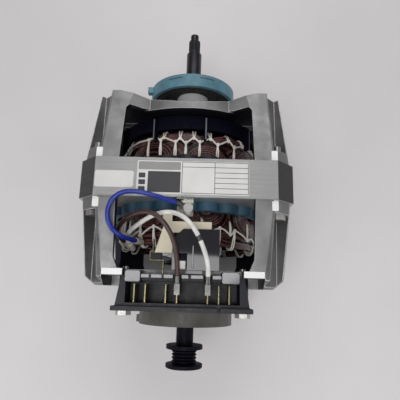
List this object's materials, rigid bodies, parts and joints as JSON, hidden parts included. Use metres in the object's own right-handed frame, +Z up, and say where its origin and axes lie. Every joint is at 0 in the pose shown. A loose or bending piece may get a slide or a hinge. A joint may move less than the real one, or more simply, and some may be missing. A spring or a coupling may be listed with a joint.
{
  "type": "dryer motor",
  "caption": "Open-frame belt-drive dryer motor with end switch, ribbed pulley at the front and a threaded blower shaft at the rear.",
  "frame": {"origin": "on the shaft axis, midway between the two mount rings, at the middle of the stator stack", "axes": "+Y along the shaft toward the threaded blower end, +Z up through the flat with the stickers, +X to the right seen from the pulley end"},
  "size_m": [0.14, 0.2751, 0.1479],
  "materials": {
    "lamination_steel": "stacked laminations, varnished",
    "slot_fibre": "pressed fibre",
    "teal_insulator": "moulded, matt",
    "enamelled_copper": "enamelled wire, varnished",
    "die_cast": "die-cast, satin",
    "zinc_steel": "zinc plated",
    "teal_steel": "painted, satin",
    "grey_steel": "painted, satin",
    "black_rubber": "moulded rubber",
    "bearing_bronze": "sintered bronze",
    "felt": "oiled felt",
    "spring_steel": "pressed steel",
    "black_oxide": "black oxide",
    "fan_plastic": "moulded, matt",
    "black_moulding": "moulded, matt",
    "lever_moulding": "moulded, matt",
    "terminal_brass": "stamped strip",
    "cream_board": "pressed board",
    "label_paper": "printed sticker",
    "blue_insulation": "soft insulation",
    "brown_insulation": "soft insulation",
    "white_insulation": "soft insulation",
    "splice_plastic": "shrunk sleeve",
    "tinned_brass": "tinned"
  },
  "bodies": {
    "frame": {"stator_core": "lamination_steel", "slot_wedges": "slot_fibre", "slot_insulator_rear": "teal_insulator", "slot_insulator_front": "teal_insulator", "main_winding": "enamelled_copper", "start_winding": "enamelled_copper", "rear_end_shield": "die_cast", "front_end_shield": "die_cast", "through_bolts": "zinc_steel", "rear_mount_ring": "teal_steel", "front_mount_ring": "grey_steel", "rear_mount_cushion": "black_rubber", "front_mount_cushion": "black_rubber", "rear_bearing": "bearing_bronze", "front_bearing": "bearing_bronze", "bearing_wicks": "felt", "bearing_retainers": "spring_steel", "lever_pin": "spring_steel", "switch_cover": "black_moulding", "switch_housing": "black_moulding", "terminal_blades": "terminal_brass", "switch_screws": "zinc_steel", "insulation_board": "cream_board", "contact_spring": "terminal_brass", "thermal_protector": "black_moulding", "ground_clip": "terminal_brass", "ground_screw": "zinc_steel", "rating_label": "label_paper", "tag_label": "label_paper", "blue_lead": "blue_insulation", "brown_lead": "brown_insulation", "white_lead": "white_insulation", "splice_sleeves": "splice_plastic", "crimp_terminals": "tinned_brass", "ring_terminal": "tinned_brass"},
    "rotor": {"shaft": "black_oxide", "pulley": "black_oxide", "rotor_core": "lamination_steel", "rotor_cage": "die_cast", "internal_fan": "fan_plastic", "thrust_washers": "slot_fibre", "governor_base": "spring_steel", "governor_pins": "spring_steel", "governor_springs": "spring_steel"},
    "governor_collar": {"governor_collar": "black_moulding"},
    "governor_weight_right": {"governor_weight_right": "zinc_steel"},
    "governor_weight_left": {"governor_weight_left": "zinc_steel"},
    "switch_lever": {"switch_lever": "lever_moulding"}
  },
  "joints": [
    {"name": "rotor_spin", "type": "hinge", "parent": "frame", "child": "rotor", "pos_m": [0, 0, 0], "axis": [0, 1, 0], "continuous": true},
    {"name": "governor_slide", "type": "slide", "parent": "rotor", "child": "governor_collar", "axis": [0, 1, 0], "range_m": [0, 0.003], "stiffness_N_per_m": 400, "springref_m": -0.003},
    {"name": "governor_weight_right_swing", "type": "hinge", "parent": "rotor", "child": "governor_weight_right", "pos_m": [0.022, -0.04, 0], "axis": [0, 0, 1], "range_deg": [-16, 0]},
    {"name": "governor_weight_left_swing", "type": "hinge", "parent": "rotor", "child": "governor_weight_left", "pos_m": [-0.022, -0.04, 0], "axis": [0, 0, 1], "range_deg": [0, 16]},
    {"name": "switch_lever_swing", "type": "hinge", "parent": "frame", "child": "switch_lever", "pos_m": [0, -0.052, 0.058], "axis": [1, 0, 0], "range_deg": [0, 4]}
  ],
  "couplings": [
    {"joint": "governor_weight_right_swing", "follows": "governor_slide", "rad_per_m": -90},
    {"joint": "governor_weight_left_swing", "follows": "governor_slide", "rad_per_m": 90},
    {"joint": "switch_lever_swing", "follows": "governor_slide", "rad_per_m": 22.8}
  ]
}
